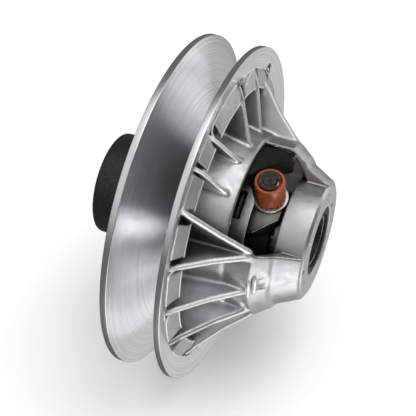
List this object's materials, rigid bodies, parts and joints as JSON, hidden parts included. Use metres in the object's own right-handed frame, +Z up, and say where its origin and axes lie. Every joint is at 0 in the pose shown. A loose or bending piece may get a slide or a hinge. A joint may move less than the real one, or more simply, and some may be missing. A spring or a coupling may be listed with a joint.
{
  "type": "driven cvt pulley",
  "caption": "Driven variable-speed pulley: two conical sheaves on a splined post, a ribbed sliding half with a two-legged tower, ramps, rollers and a return spring.",
  "frame": {"origin": "centre of the rear hub's end face, on the turning axis", "axes": "Y is the turning axis: +Y points from the pulley into the gearbox, -Y towards the tower's nose; +Z is up, and the visible window of the tower faces up and to -X"},
  "size_m": [0.24, 0.1564, 0.24],
  "materials": {
    "machined_aluminium": "fine turned aluminium, satin bright",
    "cast_aluminium": "die-cast aluminium, lightly blasted",
    "black_steel": "black phosphated steel, rough satin",
    "bright_steel": "ground steel",
    "spider_casting": "sintered steel, olive-grey",
    "spring_steel": "dark oiled steel",
    "roller_plastic": "orange-brown bearing plastic",
    "ramp_plastic": "black glass-filled nylon",
    "bronze": "sintered bronze"
  },
  "bodies": {
    "fixed_half": {"fixed_sheave": "machined_aluminium", "hub_post": "bright_steel", "rear_hub": "black_steel", "hub_rivet_1": "bright_steel", "hub_rivet_2": "bright_steel", "hub_rivet_3": "bright_steel", "hub_rivet_4": "bright_steel", "hub_rivet_5": "bright_steel", "hub_rivet_6": "bright_steel", "spider": "spider_casting", "spider_key_1": "bright_steel", "spider_key_2": "bright_steel", "spider_lock_ring": "bright_steel", "spring_cup": "cast_aluminium", "spring": "spring_steel", "roller_pin_1": "spring_steel", "roller_pin_2": "spring_steel", "roller_washer_1": "bright_steel", "roller_washer_2": "bright_steel", "pin_clip_1": "spring_steel", "pin_clip_2": "spring_steel"},
    "roller_a": {"roller_1": "roller_plastic", "roller_sleeve_1": "bronze"},
    "roller_b": {"roller_2": "roller_plastic", "roller_sleeve_2": "bronze"},
    "seat_half": {"spring_seat": "bright_steel", "thrust_washer": "bronze"},
    "sliding_half": {"sliding_sheave": "cast_aluminium", "sheave_bushing": "bronze", "tower_bushing": "ramp_plastic", "ramp_1": "ramp_plastic", "ramp_2": "ramp_plastic", "ramp_dowel_1": "bright_steel", "ramp_dowel_2": "bright_steel", "ramp_dowel_3": "bright_steel", "ramp_dowel_4": "bright_steel"}
  },
  "joints": [
    {"name": "sheave_slide", "type": "slide", "parent": "fixed_half", "child": "seat_half", "axis": [0, -1, 0], "range_m": [0, 0.022], "stiffness_N_per_m": 7000, "springref_m": -0.03, "deforming": ["spring"]},
    {"name": "sheave_twist", "type": "hinge", "parent": "seat_half", "child": "sliding_half", "pos_m": [0, -0.0905, 0], "axis": [0, 1, 0], "range_deg": [0, 26.4]},
    {"name": "roller_1_spin", "type": "hinge", "parent": "fixed_half", "child": "roller_a", "pos_m": [-0.01006, -0.1219, 0.04652], "axis": [-0.2113, 0, 0.9774], "range_deg": [-180, 5]},
    {"name": "roller_2_spin", "type": "hinge", "parent": "fixed_half", "child": "roller_b", "pos_m": [0.01006, -0.1219, -0.04652], "axis": [0.2113, 0, -0.9774], "range_deg": [-180, 5]}
  ],
  "couplings": [
    {"joint": "sheave_twist", "follows": "sheave_slide", "rad_per_m": 20.833},
    {"joint": "roller_1_spin", "follows": "sheave_slide", "rad_per_m": -138},
    {"joint": "roller_2_spin", "follows": "sheave_slide", "rad_per_m": -138}
  ]
}
